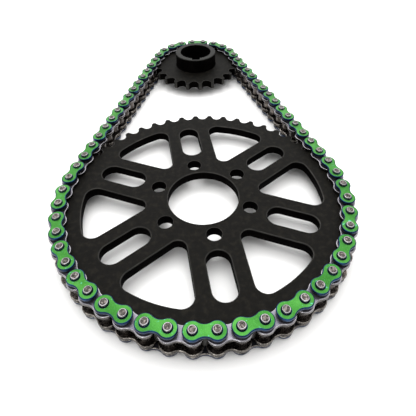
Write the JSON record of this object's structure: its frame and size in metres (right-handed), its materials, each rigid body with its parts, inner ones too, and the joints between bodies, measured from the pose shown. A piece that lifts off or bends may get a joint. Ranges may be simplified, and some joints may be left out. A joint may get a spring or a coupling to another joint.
{
  "type": "roller chain drive set",
  "caption": "Sealed roller chain in an endless loop, laid round a large spoked rear sprocket and a small front sprocket with a keyed collar.",
  "frame": {"origin": "centre of the rear sprocket's bore, on the chain's middle plane", "axes": "+Z along the sprocket axes towards the front sprocket's collar, +Y from the rear to the front sprocket"},
  "size_m": [0.1285, 0.2173, 0.0183],
  "materials": {
    "rear_sprocket_black": "satin black anodised",
    "front_sprocket_black": "satin black oxide",
    "outer_plate_green": "gloss green coating over steel",
    "outer_plate_dark": "dark blued steel",
    "inner_plate_steel": "satin steel",
    "pin_steel": "polished steel",
    "bushing_steel": "ground steel",
    "roller_steel": "dark oiled steel",
    "seal_rubber": "matte black rubber"
  },
  "bodies": {
    "front": {"front_bushings": "bushing_steel", "front_inner_plates_bottom": "inner_plate_steel", "front_inner_plates_top": "inner_plate_steel", "front_outer_plates_bottom": "outer_plate_dark", "front_outer_plates_top": "outer_plate_green", "front_pins": "pin_steel", "front_rollers": "roller_steel", "front_seals": "seal_rubber", "front_sprocket": "front_sprocket_black"},
    "left_front_link": {"left_front_link_bushings": "bushing_steel", "left_front_link_inner_plates_bottom": "inner_plate_steel", "left_front_link_inner_plates_top": "inner_plate_steel", "left_front_link_rollers": "roller_steel", "left_front_link_seals": "seal_rubber"},
    "left_rear_link": {"left_rear_link_outer_plates_bottom": "outer_plate_dark", "left_rear_link_outer_plates_top": "outer_plate_green", "left_rear_link_pins": "pin_steel"},
    "left_strand_front": {"left_strand_front_bushings": "bushing_steel", "left_strand_front_inner_plates_bottom": "inner_plate_steel", "left_strand_front_inner_plates_top": "inner_plate_steel", "left_strand_front_outer_plates_bottom": "outer_plate_dark", "left_strand_front_outer_plates_top": "outer_plate_green", "left_strand_front_pins": "pin_steel", "left_strand_front_rollers": "roller_steel", "left_strand_front_seals": "seal_rubber"},
    "left_strand_rear": {"left_strand_rear_bushings": "bushing_steel", "left_strand_rear_inner_plates_bottom": "inner_plate_steel", "left_strand_rear_inner_plates_top": "inner_plate_steel", "left_strand_rear_outer_plates_bottom": "outer_plate_dark", "left_strand_rear_outer_plates_top": "outer_plate_green", "left_strand_rear_pins": "pin_steel", "left_strand_rear_rollers": "roller_steel", "left_strand_rear_seals": "seal_rubber"},
    "rear": {"rear_bushings": "bushing_steel", "rear_inner_plates_bottom": "inner_plate_steel", "rear_inner_plates_top": "inner_plate_steel", "rear_outer_plates_bottom": "outer_plate_dark", "rear_outer_plates_top": "outer_plate_green", "rear_pins": "pin_steel", "rear_rollers": "roller_steel", "rear_seals": "seal_rubber", "rear_sprocket": "rear_sprocket_black"},
    "right_front_link": {"right_front_link_outer_plates_bottom": "outer_plate_dark", "right_front_link_outer_plates_top": "outer_plate_green", "right_front_link_pins": "pin_steel"},
    "right_rear_link": {"right_rear_link_bushings": "bushing_steel", "right_rear_link_inner_plates_bottom": "inner_plate_steel", "right_rear_link_inner_plates_top": "inner_plate_steel", "right_rear_link_rollers": "roller_steel", "right_rear_link_seals": "seal_rubber"},
    "right_strand": {"right_strand_bushings": "bushing_steel", "right_strand_inner_plates_bottom": "inner_plate_steel", "right_strand_inner_plates_top": "inner_plate_steel", "right_strand_outer_plates_bottom": "outer_plate_dark", "right_strand_outer_plates_top": "outer_plate_green", "right_strand_pins": "pin_steel", "right_strand_rollers": "roller_steel", "right_strand_seals": "seal_rubber"}
  },
  "joints": [
    {"name": "rear_wrap_right_hinge", "type": "hinge", "parent": "rear", "child": "right_rear_link", "pos_m": [0.05868, 0.01539, 0], "axis": [0, 0, 1], "range_deg": [0, 2]},
    {"name": "right_strand_rear_hinge", "type": "hinge", "parent": "right_rear_link", "child": "right_strand", "pos_m": [0.05649, 0.02285, 0], "axis": [0, 0, 1], "range_deg": [0, 2.73]},
    {"name": "right_strand_front_hinge", "type": "hinge", "parent": "right_strand", "child": "right_front_link", "pos_m": [0.02579, 0.12726, 0], "axis": [0, 0, 1], "range_deg": [-0.3939, 0]},
    {"name": "front_wrap_right_hinge", "type": "hinge", "parent": "right_front_link", "child": "front", "pos_m": [0.0235, 0.13469, 0], "axis": [0, 0, 1], "range_deg": [-10.84, 0]},
    {"name": "front_wrap_left_hinge", "type": "hinge", "parent": "front", "child": "left_front_link", "pos_m": [-0.02492, 0.13106, 0], "axis": [0, 0, 1], "range_deg": [0, 7.75]},
    {"name": "left_strand_front_hinge", "type": "hinge", "parent": "left_front_link", "child": "left_strand_front", "pos_m": [-0.0271, 0.1236, 0], "axis": [0, 0, 1], "range_deg": [0, 2.9]},
    {"name": "rear_wrap_left_hinge", "type": "hinge", "parent": "rear", "child": "left_rear_link", "pos_m": [-0.05955, 0.0116, 0], "axis": [0, 0, 1], "range_deg": [0, 3.26]},
    {"name": "left_strand_rear_hinge", "type": "hinge", "parent": "left_rear_link", "child": "left_strand_rear", "pos_m": [-0.05758, 0.01912, 0], "axis": [0, 0, 1], "range_deg": [0, 2.31]}
  ],
  "couplings": [
    {"joint": "right_strand_rear_hinge", "follows": "rear_wrap_right_hinge", "ratio": 1.3617},
    {"joint": "right_strand_front_hinge", "follows": "rear_wrap_right_hinge", "ratio": -0.19586},
    {"joint": "front_wrap_right_hinge", "follows": "rear_wrap_right_hinge", "ratio": -5.4157},
    {"joint": "front_wrap_left_hinge", "follows": "rear_wrap_right_hinge", "ratio": 3.8704},
    {"joint": "left_strand_front_hinge", "follows": "rear_wrap_right_hinge", "ratio": 1.4491},
    {"joint": "rear_wrap_left_hinge", "follows": "rear_wrap_right_hinge", "ratio": 1.6256},
    {"joint": "left_strand_rear_hinge", "follows": "rear_wrap_right_hinge", "ratio": 1.1517}
  ]
}
